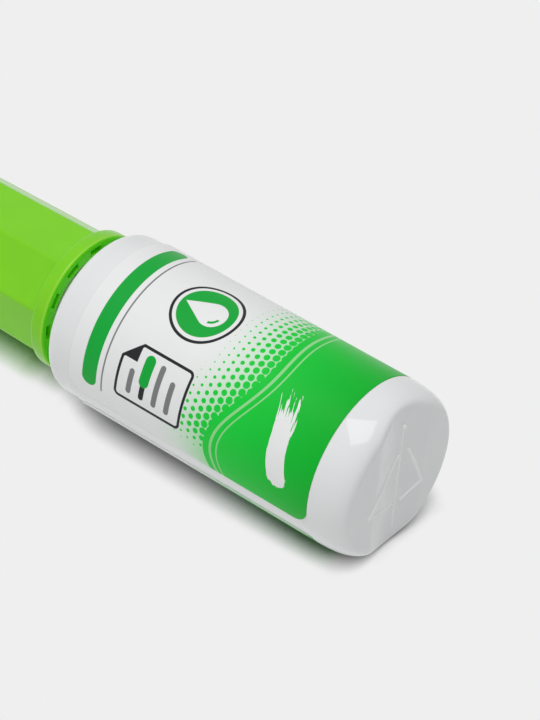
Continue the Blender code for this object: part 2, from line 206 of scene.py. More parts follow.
# Pockets in the flange's underside, with their places round it in degrees
POCKET_INNER = 9.2 * MM
POCKET_OUTER = 10.08 * MM
POCKET_DEPTH = 1.2 * MM
POCKET_FIRST = 1
POCKET_SPAN = 14
POCKET_PITCH = 30
DEGREE_TOLERANCE = 1e-6
POCKET_MARGIN = 0.05 * MM
POCKET_BLEND = 0.02 * MM

# Wiper and washer
WIPER_HOLE = 3.1 * MM
WIPER_OUTER = 6.45 * MM
WIPER_INNER = 5.65 * MM
WIPER_LIP_RISE = 1.0 * MM
WIPER_LIP_DEPTH = 0.8 * MM
WIPER_SEAT = 0.05 * MM
WASHER_CLEARANCE = 0.3 * MM
WASHER_ROUND = 0.2 * MM

# Brush
STEM_RADIUS = 2.0 * MM
STEM_END = BASE - stem_high.x
SOCKET_RADIUS = 1.55 * MM
SOCKET_DEPTH = 5.0 * MM
HEAD_LOW = 67.3 * MM
HEAD_HIGH = 68.5 * MM
SPIGOT_OUTER = 6.9 * MM
SPIGOT_INNER = 5.7 * MM
STRAND_COUNT = 460
STRAND_RADIUS = 0.034 * MM
STRAND_TAPER = 0.45
STRAND_SIDES = 6
STRAND_STEPS = 9
STRAND_UNEVENNESS = 0.35 * MM
STRAND_SWAY = 0.09 * MM
TUFT_SEED = 11
TUFT_ROOT_RADIUS = 1.2 * MM
TUFT_SPLAY = 1.45
TUFT_CROWN = 1.6 * MM
GOLDEN_TURN = math.pi * (3 - math.sqrt(5))

# Mixing ball
BALL_CUTS = 23

# Label's print, in millimetres. The design fills half the way round and comes twice.
PRINT_WIDTH = LABEL_WIDTH / MM
PRINT_LENGTH = LABEL_LENGTH / MM
PRINT_REPEAT = PRINT_WIDTH / 2
PRINT_EDGE = 0.06
PRINT_END_FADE = 1.5
PRINT_END_SHARE = 0.7
INK_DEEP = (0.0, 0.47, 0.025)
INK_BRIGHT = (0.008, 0.66, 0.05)
INK_PALE = (0.32, 0.74, 0.30)
INK_TINT = (0.42, 0.82, 0.44)
INK_LEAF = (0.004, 0.42, 0.045)
INK_DARK = (0.018, 0.019, 0.021)
INK_GREY = (0.22, 0.225, 0.23)
WAVE_LEVEL = 15.0
WAVE_SWING = 2.6
WAVE_LEAD = 0.9
WAVE_RIPPLE = 0.7
WAVE_FADE = 11.0
WAVE_LINES = ((1.3, 0.22), (2.4, 0.12))
DOT_PITCH = 1.2
DOT_RADIUS = 0.62
DOT_REACH = 9.0
DOT_MARGIN = 2.0
DOT_MARGIN_BLEND = 4.0
STROKE_PLACE = (11.0, 6.8)
STROKE_TILT = math.radians(14)
STROKE_HALF = 5.6
STROKE_RADIUS = 1.5
STROKE_HAIRS = (3.5, 0.32)
BAR_MIDDLE = 17.0
SHEET_PLACE = (8.4, 28.6)
SHEET_OUTLINE = 0.45
BADGE_PLACE = (21.5, 27.0)
BADGE_RADIUS = 5.4
BADGE_OUTLINE = 0.45
BADGE_MARGIN = 1.0
DROP_RADIUS = 2.2
DROP_LOW = 1.0
DROP_TIP = 3.8

# Floor, with a painted tint of its shadow under the cap and under the label's print, and a painted darker
# shadow behind the object
FLOOR_SIZE = 3.0
FLOOR_CELLS = 8
FLOOR_SHADE = 0.863
FLOOR_MOTTLE = 0.995
SHADOW_SHADE = 0.25
SHADOW_REACH = 8 * MM
SHADOW_SAMPLES = 32
SHADOW_DARK = 0.22
SHADOW_SLOPE = 3.1
CAP_SHADOW_SHADE = (0.19, 0.40, 0.10)
CAP_SHADOW_FRINGE = (0.62, 0.863, 0.52)
CAP_SHADOW_DARK = 0.15
CAP_SHADOW_START = -12 * MM
CAP_SHADOW_BLEND = 8 * MM
LABEL_SHADOW_SHADE = (0.13, 0.205, 0.12)
LABEL_SHADOW_FRINGE = (0.78, 0.863, 0.80)
LABEL_SHADOW_DARK = 0.03
LABEL_SHADOW_SLOPE = 0.9
LABEL_SHADOW_START = 14 * MM
LABEL_SHADOW_BLEND = 20 * MM
LABEL_SHADOW_END = 40.3 * MM
LABEL_SHADOW_END_BLEND = 2 * MM
BACK_SHADOW_DARK = 0.2
BACK_SHADOW_BLEND = 10 * MM

# Light
SKY_LOW = 0.06
SKY_RISE = 1.10
SKY_TILT = (-0.16, 0.0, 0.98)
SKY_BACK = 0.7
KEY_DIRECTION = (0.0, -0.18, 1.0)
KEY_ROLL = math.radians(33)
KEY_DISTANCE = 0.6
KEY_SIZE = 0.33
KEY_RADIANCE = 2.3


def put(radius, turn, height):
    """World positions of points that are given round the bottle's axis."""
    radius, turn, height = np.broadcast_arrays(radius, turn, height)
    return np.stack([BASE - height, radius * np.sin(turn), AXIS + radius * np.cos(turn)], axis=-1)


def arc(centre, radii, start, end, steps):
    """Points of an elliptical arc in the (radius, height) plane, ends included."""
    points = []
    for k in range(steps + 1):
        angle = math.radians(start + (end - start) * k / steps)
        points.append((centre[0] + radii[0] * math.cos(angle), centre[1] + radii[1] * math.sin(angle)))
    return points


def bulge(width, rise, power, steps):
    """A quarter of a superellipse, from (width, 0) to (0, rise)."""
    points = []
    for k in range(steps + 1):
        angle = math.pi / 2 * k / steps
        points.append((width * math.cos(angle) ** (2 / power), rise * math.sin(angle) ** (2 / power)))
    return points


def rounded(corners, closed=False):
    """A profile from corners (radius, height, rounding), with an arc at each rounded corner."""
    points = []
    for k, (radius, height, *rounding) in enumerate(corners):
        here = Vector((radius, height))
        if not rounding:
            points.append((radius, height))
            continue
        before = (Vector(corners[k - 1][:2]) - here).normalized()
        after = (Vector(corners[(k + 1) % len(corners)][:2]) - here).normalized()
        half = before.angle(after) / 2
        middle = here + (before + after).normalized() * rounding[0] / math.sin(half)
        first = here + before * rounding[0] / math.tan(half) - middle
        sweep = math.pi - 2 * half
        side = 1.0 if before.cross(after) < 0 else -1.0
        for j in range(FILLET_STEPS + 1):
            angle = side * sweep * j / FILLET_STEPS
            x = first.x * math.cos(angle) - first.y * math.sin(angle)
            y = first.x * math.sin(angle) + first.y * math.cos(angle)
            points.append((middle.x + x, middle.y + y))
    return points + points[:1] if closed else points


def grid_faces(rows, columns, offset):
    """Quads over a grid of points whose last column joins its first one."""
    index = offset + np.arange(rows * columns).reshape(rows, columns)
    right = np.roll(index, -1, axis=1)
    quads = np.stack([index[:-1], right[:-1], right[1:], index[1:]], axis=-1)
    return quads.reshape(-1, 4)


def skin(*grids):
    """A bmesh over grids of points, each a closed tube of rows."""
    points = []
    faces = []
    offset = 0
    for grid in grids:
        rows, columns = grid.shape[:2]
        points.append(grid.reshape(-1, 3))
        faces.append(grid_faces(rows, columns, offset))
        offset += rows * columns
    mesh = bpy.data.meshes.new("grid")
    mesh.from_pydata(np.concatenate(points).tolist(), [], np.concatenate(faces).tolist())
    bm = bmesh.new()
    bm.from_mesh(mesh)
    bpy.data.meshes.remove(mesh)
    bm.faces.ensure_lookup_table()
    return bm


def mesh_of(name, bm):
    """The finished mesh: points that coincide are merged, and faces point out."""
    bmesh.ops.remove_doubles(bm, verts=bm.verts, dist=MERGE_DISTANCE)
    bmesh.ops.recalc_face_normals(bm, faces=bm.faces)
    mesh = bpy.data.meshes.new(name)
    bm.to_mesh(mesh)
    bm.free()
    return mesh


def turned(name, profile, segments=SEGMENTS):
    """A profile of (radius, height) points, turned once round the axis."""
    radius, height = np.array(profile).T
    turns = TAU * np.arange(segments) / segments
    return mesh_of(name, skin(put(radius[:, None], turns, height[:, None])))


def piece(mesh, body, material, node=None):
    """A shown piece that rides on a body and may stand for a node of the frame."""
    obj = bpy.data.objects.new(mesh.name, mesh)
    bpy.context.scene.collection.objects.link(obj)
    mesh.materials.append(material)
    mesh.shade_smooth()
    mesh.set_sharp_from_angle(angle=SHARP_ANGLE)
    weighted = obj.modifiers.new("Even shading", "WEIGHTED_NORMAL")
    weighted.keep_sharp = True
    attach(obj, body)
    if node:
        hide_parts(node)


class Field:
    """A number that varies over a surface, built up from math nodes."""

    def __init__(self, tree, socket):
        self.tree = tree
        self.socket = socket

    def apply(self, operation, *others, clamp=False):
        node = self.tree.nodes.new("ShaderNodeMath")
        node.operation = operation
        node.use_clamp = clamp
        for plug, value in zip(node.inputs, (self, *others)):
            if isinstance(value, Field):
                self.tree.links.new(value.socket, plug)
            else:
                plug.default_value = value
        return Field(self.tree, node.outputs[0])

    def __add__(self, other):
        return self.apply("ADD", other)

    def __sub__(self, other):
        return self.apply("SUBTRACT", other)

    def __mul__(self, other):
        return self.apply("MULTIPLY", other)

    def __rsub__(self, other):
        return self.apply("MULTIPLY_ADD", -1.0, other)

    __radd__ = __add__
    __rmul__ = __mul__

    def abs(self):
        return self.apply("ABSOLUTE")

    def min(self, other):
        return self.apply("MINIMUM", other)

    def max(self, other):
        return self.apply("MAXIMUM", other)

    def sine(self):
        return self.apply("SINE")

    def floor(self):
        return self.apply("FLOOR")

    def modulo(self, period):
        return self.apply("FLOORED_MODULO", period)

    def hypot(self, other):
        return (self * self + other * other).apply("SQRT")

    def clamp(self):
        return self.apply("ADD", 0.0, clamp=True)

    def inside(self, edge):
        """1 where a signed distance is below zero, with an edge of that softness."""
        return self.apply("MULTIPLY_ADD", -1.0 / edge, 0.5, clamp=True)


class Surface:
    """A Principled material whose colour, roughness and bump come from fields."""

    def __init__(self, name, **settings):
        self.material = bpy.data.materials.new(name)
        self.material.use_nodes = True
        self.tree = self.material.node_tree
        self.shader = self.tree.nodes["Principled BSDF"]
        for words, value in settings.items():
            self.shader.inputs[words.replace("_", " ")].default_value = value

    def plug(self, value, socket):
        """Links a field or an output to a socket, or sets a plain value on it."""
        if isinstance(value, Field):
            self.tree.links.new(value.socket, socket)
        elif hasattr(value, "is_output"):
            self.tree.links.new(value, socket)
        else:
            socket.default_value = value

    def noise_at(self, place, detail):
        texture = self.tree.nodes.new("ShaderNodeTexNoise")
        texture.inputs["Scale"].default_value = 1.0
        texture.inputs["Detail"].default_value = detail
        self.tree.links.new(place, texture.inputs["Vector"])
        return Field(self.tree, texture.outputs[0])

    def noise(self, size, detail=2.0, stretch=(1.0, 1.0, 1.0)):
        """Noise around 0.5, with patches of about that size."""
        place = self.tree.nodes.new("ShaderNodeTexCoord")
        mapping = self.tree.nodes.new("ShaderNodeMapping")
        mapping.inputs["Scale"].default_value = [part / size for part in stretch]
        self.tree.links.new(place.outputs["Object"], mapping.inputs["Vector"])
        return self.noise_at(mapping.outputs["Vector"], detail)

    def streaks(self, x, y, sizes):
        """Noise around 0.5 over a flat print, with patches of those sizes along its two directions."""
        joined = self.tree.nodes.new("ShaderNodeCombineXYZ")
        self.plug(x * (1 / sizes[0]), joined.inputs[0])
        self.plug(y * (1 / sizes[1]), joined.inputs[1])
        return self.noise_at(joined.outputs[0], 2.0)

    def part(self, source, axis):
        """One part of a texture coordinate, such as the place or the direction of the surface."""
        place = self.tree.nodes.new("ShaderNodeTexCoord")
        split = self.tree.nodes.new("ShaderNodeSeparateXYZ")
        self.tree.links.new(place.outputs[source], split.inputs[0])
        return Field(self.tree, split.outputs[axis])

    def mix(self, share, low, high):
        """A colour between two others."""
        node = self.tree.nodes.new("ShaderNodeMix")
        node.data_type = "RGBA"
        self.plug(share, node.inputs[0])
        for socket, colour in ((node.inputs[6], low), (node.inputs[7], high)):
            self.plug((*colour, 1.0) if isinstance(colour, tuple) else colour, socket)
        return node.outputs[2]

    def colour(self, value):
        self.plug(value, self.shader.inputs["Base Color"])

    def roughness(self, value):
        self.plug(value, self.shader.inputs["Roughness"])

    def bump(self, height):
        """Fine relief, from a height in metres."""
        node = self.tree.nodes.new("ShaderNodeBump")
        node.inputs["Strength"].default_value = 1.0
        node.inputs["Distance"].default_value = 1.0
        self.plug(height, node.inputs["Height"])
        self.tree.links.new(node.outputs["Normal"], self.shader.inputs["Normal"])


def mix_shaders(tree, share, first, second):
    """The output of a node that goes from one shader to another as a field goes from 0 to 1."""
    node = tree.nodes.new("ShaderNodeMixShader")
    tree.links.new(share.socket, node.inputs[0])
    tree.links.new(first, node.inputs[1])
    tree.links.new(second, node.inputs[2])
    return node.outputs[0]


def moulded_plastic(name, dark, light, roughness, patch, grain, relief):
    """Plastic with a slow drift of colour, uneven gloss and a fine moulded grain."""
    surface = Surface(name)
    surface.colour(surface.mix(surface.noise(patch, 3.0), dark, light))
    smooth, rough = roughness
    surface.roughness(smooth + (rough - smooth) * surface.noise(patch / 2, 4.0))
    surface.bump(surface.noise(grain, 3.0) * relief)
    return surface.material


def bottle_material():
    return moulded_plastic(
        "glossy_white_plastic", dark=(0.825, 0.84, 0.85), light=(0.875, 0.885, 0.89),
        roughness=(0.03, 0.08), patch=5 * MM, grain=1.3 * MM, relief=0.003 * MM)


def painted_highlight_material():
    """The bottle's plastic on the raised lines, painted lighter than the rest of the bottle: a painted
    highlight along the lines.
    """
    return moulded_plastic(
        "painted_highlight_white_plastic", dark=(0.96, 0.965, 0.97), light=(0.985, 0.985, 0.985),
        roughness=(0.05, 0.12), patch=2 * MM, grain=0.4 * MM, relief=0.001 * MM)


def wiper_material():
    return moulded_plastic(
        "soft_white_plastic", dark=(0.74, 0.75, 0.74), light=(0.80, 0.81, 0.80),
        roughness=(0.35, 0.5), patch=3 * MM, grain=0.5 * MM, relief=0.003 * MM)


def stem_material():
    return moulded_plastic(
        "satin_white_plastic", dark=(0.73, 0.74, 0.73), light=(0.79, 0.80, 0.79),
        roughness=(0.30, 0.42), patch=3 * MM, grain=0.6 * MM, relief=0.003 * MM)


def pocket_glow_share(surface):
    """1 in the ring of the flange that holds the pockets, as deep as they go: where the cap gets its
    painted glow.
    """
    height = BASE - surface.part("Object", "X")
    away = surface.part("Object", "Y").hypot(surface.part("Object", "Z") - AXIS)
    middle = (POCKET_INNER + POCKET_OUTER) / 2
    beside = (away - middle).abs() - (POCKET_OUTER - middle + POCKET_MARGIN)
    beyond = height - (CAP_MOUTH + POCKET_DEPTH + POCKET_MARGIN)
    return beside.max(beyond).inside(POCKET_BLEND)


def cap_material():
    """Green plastic with painted light: a painted highlight on the mouth's rim, and a painted glow on the
    mouth's face and in the pockets, standing in for light that comes through the plastic.
    """
    surface = Surface("satin_green_plastic", Specular_IOR_Level=0.5, Specular_Tint=(0.85, 1.0, 0.4, 1.0))
    shade = surface.mix(surface.noise(4 * MM, 3.0), (0.19, 0.65, 0.012), (0.23, 0.72, 0.018))
    towards_base = surface.part("Normal", "X")
    # Painted highlight: a lighter lime band where the surface turns part way towards the base, along the
    # flange's lower rim.
    painted_rim_highlight = (1.0 - (towards_base - 0.42).abs() * 2.6).clamp()
    shade = surface.mix(painted_rim_highlight, shade, (0.36, 0.80, 0.07))
    # Painted glow: bright green on faces that point towards the base and in the pockets.
    painted_mouth_glow = ((towards_base - 0.7) * 4.0).clamp()
    surface.colour(surface.mix(painted_mouth_glow.max(pocket_glow_share(surface)), shade, (0.11, 0.85, 0.0)))
    surface.roughness(0.16 + 0.1 * surface.noise(2 * MM, 4.0))
    surface.bump(surface.noise(0.5 * MM, 3.0) * (0.0008 * MM))
    return surface.material


def foam_material():
    """Closed-cell foam: small round pits in a matt sheet."""
    surface = Surface("washer_foam")
    cells = surface.tree.nodes.new("ShaderNodeTexVoronoi")
    place = surface.tree.nodes.new("ShaderNodeTexCoord")
    surface.tree.links.new(place.outputs["Object"], cells.inputs["Vector"])
    cell_size = 0.16 * MM
    cells.inputs["Scale"].default_value = 1 / cell_size
    pit = Field(surface.tree, cells.outputs["Distance"])
    # Painted shade: the colour is darker towards the bottoms of the pits that the bump sinks.
    surface.colour(surface.mix(pit, (0.66, 0.67, 0.65), (0.80, 0.81, 0.79)))
    surface.roughness(0.6 + 0.25 * surface.noise(0.5 * MM))
    surface.bump(pit * (0.03 * MM))
    return surface.material


def bristle_material():
    """Pale nylon, streaked along the strands."""
    surface = Surface("bristle_nylon", Specular_IOR_Level=0.5)
    along = surface.noise(0.6 * MM, 3.0, (0.12, 1.0, 1.0))
    surface.colour(surface.mix(along, (0.66, 0.62, 0.52), (0.86, 0.84, 0.77)))
    surface.roughness(0.3 + 0.2 * along)
    return surface.material


def steel_material(name, dark, light, stretch):
    """Metal with fine scratches, drawn out along a direction whose stretch is below 1."""
    surface = Surface(name, Metallic=1.0)
    scratches = surface.noise(0.25 * MM, 5.0, stretch)
    surface.colour(surface.mix(scratches, dark, light))
    surface.roughness(0.12 + 0.14 * scratches)
    surface.bump(scratches * (0.002 * MM))
    return surface.material


def rounded_box(x, y, half_x, half_y, corner):
    """Signed distance to a box with rounded corners."""
    out_x = x.abs() - (half_x - corner)
    out_y = y.abs() - (half_y - corner)
    return out_x.max(0.0).hypot(out_y.max(0.0)) + out_x.max(out_y).min(0.0) - corner


def bar(x, y, half, radius):
    """Signed distance to a level bar with round ends."""
    return (x.abs() - half).max(0.0).hypot(y) - radius


class Print:
    """Ink on a film, laid layer on layer at places along and up it."""

    def __init__(self, surface, along, up, film):
        self.surface = surface
        self.along = along
        self.up = up
        self.film = film
        self.layer = film

    def tint(self, share, colour):
        """Mixes a share of a colour into what is printed so far."""
        self.layer = self.surface.mix(share, self.layer, colour)

    def ink(self, distance, colour):
        """Fills the shape that a signed distance describes."""
        self.tint(distance.inside(PRINT_EDGE), colour)


def wave_dots(page, above):
    """1 on rows of dots that shrink with distance above the wave and towards the design's two ends."""
    row = (page.up * (1 / DOT_PITCH)).floor()
    shifted = (page.along + row.modulo(2.0) * (DOT_PITCH / 2)).modulo(DOT_PITCH) - DOT_PITCH / 2
    away = shifted.hypot(page.up.modulo(DOT_PITCH) - DOT_PITCH / 2)
    from_end = PRINT_REPEAT / 2 - (page.along - PRINT_REPEAT / 2).abs()
    full = ((from_end - DOT_MARGIN) * (1 / DOT_MARGIN_BLEND)).clamp()
    radius = DOT_RADIUS * full * (1.0 - above * (1 / DOT_REACH)).clamp()
    return (away - radius).inside(PRINT_EDGE) * (above - DOT_REACH).inside(PRINT_EDGE)


def print_wave(page):
    """A green wave that breaks up into dots above its edge, with two pale lines below it."""
    phase = page.along * (TAU / PRINT_REPEAT)
    edge = WAVE_LEVEL + WAVE_SWING * (phase + WAVE_LEAD).sine() + WAVE_RIPPLE * (phase * 2.0).sine()
    above = page.up - edge
    fade = (1.0 - above * (1 / WAVE_FADE)).clamp()
    page.tint(fade * fade, INK_TINT)
    page.tint(wave_dots(page, above), INK_BRIGHT)
    green = page.surface.mix((page.up * (1 / WAVE_LEVEL)).clamp(), INK_DEEP, INK_BRIGHT)
    page.ink(above, green)
    for below, half in WAVE_LINES:
        page.ink((above + below).abs() - half, INK_PALE)


def print_stroke(page):
    """A bare brush stroke in the wave, with ragged edges, that runs dry towards one end."""
    along = page.along - STROKE_PLACE[0]
    up = page.up - STROKE_PLACE[1]
    x = along * math.cos(STROKE_TILT) + up * math.sin(STROKE_TILT)
    bend = 0.3 * (x * 0.5).sine()
    y = up * math.cos(STROKE_TILT) - along * math.sin(STROKE_TILT) + bend
    hairs = page.surface.streaks(x, y, STROKE_HAIRS)
    ragged = bar(x, y, STROKE_HALF, STROKE_RADIUS) + 1.2 * (hairs - 0.5)
    dry = hairs + 0.05 * x - 0.72
    page.ink(ragged.max(dry * 2.0), page.film)


def print_bars(page):
    """A thick green bar and a thin grey rule near the label's upper edge."""
    x = page.along - BAR_MIDDLE
    page.ink(bar(x, page.up - 39.2, 13.0, 1.3), INK_LEAF)
    page.ink(bar(x, page.up - 36.9, 14.2, 0.13), INK_GREY)


def print_sheet(page):
    """A sheet with a folded corner and lines on it, one of them partly painted over."""
    x = page.along - SHEET_PLACE[0]
    y = page.up - SHEET_PLACE[1]
    cut_corner = (x + y - 7.8) * math.sqrt(0.5)
    sheet = rounded_box(x, y, 4.6, 6.0, 0.9).max(cut_corner)
    fold = sheet.max(1.8 - x).max(3.2 - y)
    page.ink(sheet, INK_DARK)
    page.ink(sheet + SHEET_OUTLINE, page.film)
    page.ink(fold, INK_DARK)
    lines = (
        (3.5, -1.3, 1.5, 0.45, INK_GREY),
        (1.2, -2.0, 0.8, 0.45, INK_DARK),
        (1.2, 1.2, 1.6, 0.85, INK_LEAF),
        (-1.1, 0.0, 2.8, 0.45, INK_GREY),
        (-3.4, -0.7, 2.1, 0.45, INK_GREY),
    )
    for level, middle, half, radius, ink in lines:
        page.ink(bar(x - middle, y - level, half, radius), ink)


def print_badge(page):
    """A round badge with a drop in it."""
    x = page.along - BADGE_PLACE[0]
    y = page.up - BADGE_PLACE[1]
    disc = x.hypot(y) - BADGE_RADIUS
    page.ink(disc, INK_DARK)
    page.ink(disc + BADGE_OUTLINE, page.film)
    page.ink(disc + BADGE_MARGIN, INK_LEAF)
    body = x.hypot(y + DROP_LOW) - DROP_RADIUS
    slope = math.asin(DROP_RADIUS / (DROP_TIP + DROP_LOW))
    side = x.abs() * math.cos(slope) + (y - DROP_TIP) * math.sin(slope)
    tail = side.max(-1.0 * (y + DROP_LOW - DROP_RADIUS * math.sin(slope)))
    page.ink(body.min(tail), page.film)
    shine = ((x + 0.1).hypot(y + DROP_LOW) - 1.35).abs() - 0.2
    page.ink(shine.max(x + 0.35).max(y + 1.2), INK_LEAF)


def label_material():
    """White film with a generic print, faded where the film ends."""
    surface = Surface("printed_film", Specular_IOR_Level=0.18)
    place = surface.tree.nodes.new("ShaderNodeUVMap")
    place.uv_map = LABEL_MAP
    split = surface.tree.nodes.new("ShaderNodeSeparateXYZ")
    surface.tree.links.new(place.outputs["UV"], split.inputs[0])
    from_start = Field(surface.tree, split.outputs["X"]) * PRINT_WIDTH
    up = Field(surface.tree, split.outputs["Y"]) * PRINT_LENGTH
    white = surface.mix(surface.noise(6 * MM), (0.885, 0.89, 0.895), (0.92, 0.925, 0.925))
    page = Print(surface, from_start.modulo(PRINT_REPEAT), up, white)
    print_wave(page)
    print_stroke(page)
    print_bars(page)
    print_sheet(page)
    print_badge(page)
    at_end = ((from_start - (PRINT_WIDTH - PRINT_END_FADE)) * (1 / PRINT_END_FADE)).clamp()
    page.tint(PRINT_END_SHARE * at_end, white)
    surface.colour(page.layer)
    surface.roughness(0.29 + 0.12 * surface.noise(3 * MM, 4.0))
    ripple = surface.noise(7 * MM, 1.0, (0.6, 1.0, 1.0)) * (0.06 * MM)
    surface.bump(ripple + surface.noise(0.5 * MM) * (0.0015 * MM))
    return surface.material


def base_height(across, up):
    """Height of the outer base at points of its plane: flat, with the trough along the pinch-off line."""
    distance = across * math.cos(TROUGH_TURN) - up * math.sin(TROUGH_TURN)
    return soft_maximum(0.0, trough_height(distance))


def trough_height(distance):
    """Floor of the trough at a distance from the pinch-off line."""
    reach = np.minimum(np.abs(distance), TROUGH_RADIUS)
    return TROUGH_DEPTH - TROUGH_RADIUS + np.sqrt(TROUGH_RADIUS ** 2 - reach ** 2)


def soft_maximum(first, second):
    """The larger of two heights, blended where they cross."""
    overlap = np.maximum(1.0 - np.abs(first - second) / TROUGH_BLEND, 0.0)
    return np.maximum(first, second) + TROUGH_BLEND * overlap ** 2 / 4


def bottle_profile():
    """From the middle of the base up the outside, over the rim and down the inside."""
    inner_deck = DECK - SHOULDER_THICKNESS
    flat = HEEL_RADIUS - HEEL_INSET
    deck_edge = BAND_RADIUS - SHOULDER_INSET
    points = [(flat * k / BASE_RINGS, 0.0) for k in range(BASE_RINGS)]
    for away, height in bulge(HEEL_INSET, HEEL_RISE, HEEL_POWER, HEEL_STEPS)[::-1]:
        if HEEL_RISE - height < HEEL_END:
            points.append((flat + away, HEEL_RISE - height))
    points += [
        (HEEL_LIP_RADIUS, HEEL_LIP_HEIGHT),
        (PANEL_RADIUS, PANEL_START),
        (PANEL_RADIUS, PANEL_END),
        (BAND_RADIUS, BAND_START),
    ]
    for away, height in bulge(SHOULDER_INSET, SHOULDER_RISE, SHOULDER_POWER, SHOULDER_STEPS):
        points.append((deck_edge + away, SHOULDER_START + height))
    points += rounded([
        (deck_edge - DECK_LEDGE, DECK),
        (NECK_RADIUS, DECK, NECK_ROOT_ROUND),
        (NECK_RADIUS, NECK_TOP, NECK_RIM_ROUND),
        (NECK_BORE, NECK_TOP, NECK_RIM_ROUND),
        (NECK_BORE, inner_deck, NECK_BORE_ROUND),
        (BODY_BORE, inner_deck, INNER_SHOULDER_ROUND),
        (BODY_BORE, BASE_THICKNESS, INNER_HEEL_ROUND),
        (0.0, BASE_THICKNESS),
    ])
    return points


def bottle_mesh():
    """The hollow body, with the trough sunk into its base."""
    radius, height = np.array(bottle_profile()).T
    turns = TAU * np.arange(SEGMENTS) / SEGMENTS
    distance = radius[:, None] * np.sin(turns - TROUGH_TURN)
    height = soft_maximum(height[:, None], trough_height(distance))
    return mesh_of("bottle_body", skin(put(radius[:, None], turns, height)))


def base_line_mesh(name, corners, width, rise):
    """A low rounded ridge on the base along corners (across, up, rounding), with round ends."""
    path = np.array(rounded(corners))
    steps = np.linalg.norm(np.diff(path, axis=0), axis=1)
    length = np.concatenate([[0.0], np.cumsum(steps)])
    count = max(int(length[-1] / LINE_SPACING), LINE_LEAST_STATIONS)
    stations = np.linspace(0.0, length[-1], count)
    path = np.stack([np.interp(stations, length, path[:, k]) for k in (0, 1)], axis=-1)
    along = np.gradient(path, axis=0)
    along /= np.linalg.norm(along, axis=1, keepdims=True)
    aside = np.stack([-along[:, 1], along[:, 0]], axis=-1)
    near_end = np.minimum(np.minimum(stations, length[-1] - stations) / (width / 2), 1.0)
    full = np.sqrt(1.0 - (1.0 - near_end) ** 2)
    share = np.linspace(-1.0, 1.0, LINE_STEPS)
    offset = np.concatenate([share, share[::-1]]) * width / 2
    lift = np.concatenate([np.cos(share * math.pi / 2) * rise, np.zeros(LINE_STEPS)]) - LINE_SINK
    points = path[:, None] + aside[:, None] * (offset[None, :] * full[:, None])[..., None]
    height = base_height(points[..., 0], points[..., 1]) - lift
    grid = np.stack([BASE - height, points[..., 0], AXIS + points[..., 1]], axis=-1)
    return mesh_of(name, skin(grid))


def thread_mesh(name, radius, outward, start):
    """A helical ridge that starts and ends flush with its wall."""
    share = np.linspace(0.0, 1.0, int(THREAD_STEPS_PER_TURN * THREAD_TURNS) + 1)
    turn = TAU * THREAD_TURNS * share
    ease = np.clip(np.minimum(share, 1.0 - share) * THREAD_TURNS / THREAD_RUN_OUT, 0.0, 1.0)
    full = ease * ease * (3.0 - 2.0 * ease)
    half = THREAD_WIDTH / 2
    section = np.array(rounded([
        (-THREAD_SINK, -half),
        (0.0, -half),
        (THREAD_RISE, -half * THREAD_CREST, THREAD_ROUND),
        (THREAD_RISE, half * THREAD_CREST, THREAD_ROUND),
        (0.0, half),
        (-THREAD_SINK, half),
    ]))
    away = radius + outward * section[:, 0] * full[:, None]
    height = start + THREAD_PITCH * THREAD_TURNS * share[:, None] + section[:, 1] * full[:, None]
    return mesh_of(name, skin(put(away, turn[:, None], height)))


def label_mesh():
    """A thin film round the body with rounded corners, and a map that unrolls it."""
    quarter = math.pi / 2 * np.arange(LABEL_CORNER_STEPS + 1) / LABEL_CORNER_STEPS
    corner = LABEL_CORNER * (1.0 - np.cos(quarter))
    straight = np.linspace(LABEL_CORNER, LABEL_LENGTH - LABEL_CORNER, LABEL_ROWS)[1:-1]
    up = np.concatenate([corner, straight, LABEL_LENGTH - corner[::-1]])
    depth = np.maximum(LABEL_CORNER - np.minimum(up, LABEL_LENGTH - up), 0.0)
    inset = LABEL_CORNER - np.sqrt(LABEL_CORNER ** 2 - depth ** 2)
    across = inset[:, None] + (LABEL_WIDTH - 2 * inset[:, None]) * np.linspace(0.0, 1.0, SEGMENTS + 1)
    turn = LABEL_GAP_TURN + (LABEL_GAP / 2 + across) / LABEL_RADIUS
    height = LABEL_START + up[:, None]
    outer = put(LABEL_RADIUS, turn, height)
    inner = put(LABEL_RADIUS - LABEL_FILM, turn, height)
    bm = skin(np.concatenate([outer, inner[:, ::-1]], axis=1))
    rows, columns = len(up), 2 * (SEGMENTS + 1)
    bm.verts.ensure_lookup_table()
    for row in (0, rows - 1):
        first = row * columns
        for k in range(SEGMENTS):
            around = (first + k, first + k + 1, first + columns - 2 - k, first + columns - 1 - k)
            bm.faces.new([bm.verts[n] for n in around])
    mesh = mesh_of("label_film", bm)
    unrolled = mesh.uv_layers.new(name=LABEL_MAP)
    for loop in mesh.loops:
        x, y, z = mesh.vertices[loop.vertex_index].co
        angle = math.atan2(y, z - AXIS) - LABEL_GAP_TURN
        share = (angle % TAU * LABEL_RADIUS - LABEL_GAP / 2) / LABEL_WIDTH
        unrolled.data[loop.index].uv = (share, (BASE - x - LABEL_START) / LABEL_LENGTH)
    return mesh


def octagon(turns, apothem, corner):
    """Distance from the axis to an octagon with rounded corners, at each turn."""
    half = math.pi / CAP_SIDES
    away = np.abs((turns % (2 * half)) - half)
    centre = (apothem - corner) / math.cos(half)
    tangent = math.atan2(corner * math.sin(half), centre + corner * math.cos(half))
    flat = apothem / np.cos(half - away)
    reach = np.maximum(corner ** 2 - (centre * np.sin(away)) ** 2, 0.0)
    return np.where(away < tangent, centre * np.cos(away) + np.sqrt(reach), flat)


def cap_turns():
    """Whole degrees, with quarter degrees round the octagon's corners."""
    quarter = np.arange(4 * 360) / 4
    from_corner = np.abs(quarter % (360 / CAP_SIDES) - 180 / CAP_SIDES)
    return np.radians(quarter[(quarter % 1 == 0) | (from_corner <= CAP_CORNER_DEGREES)])


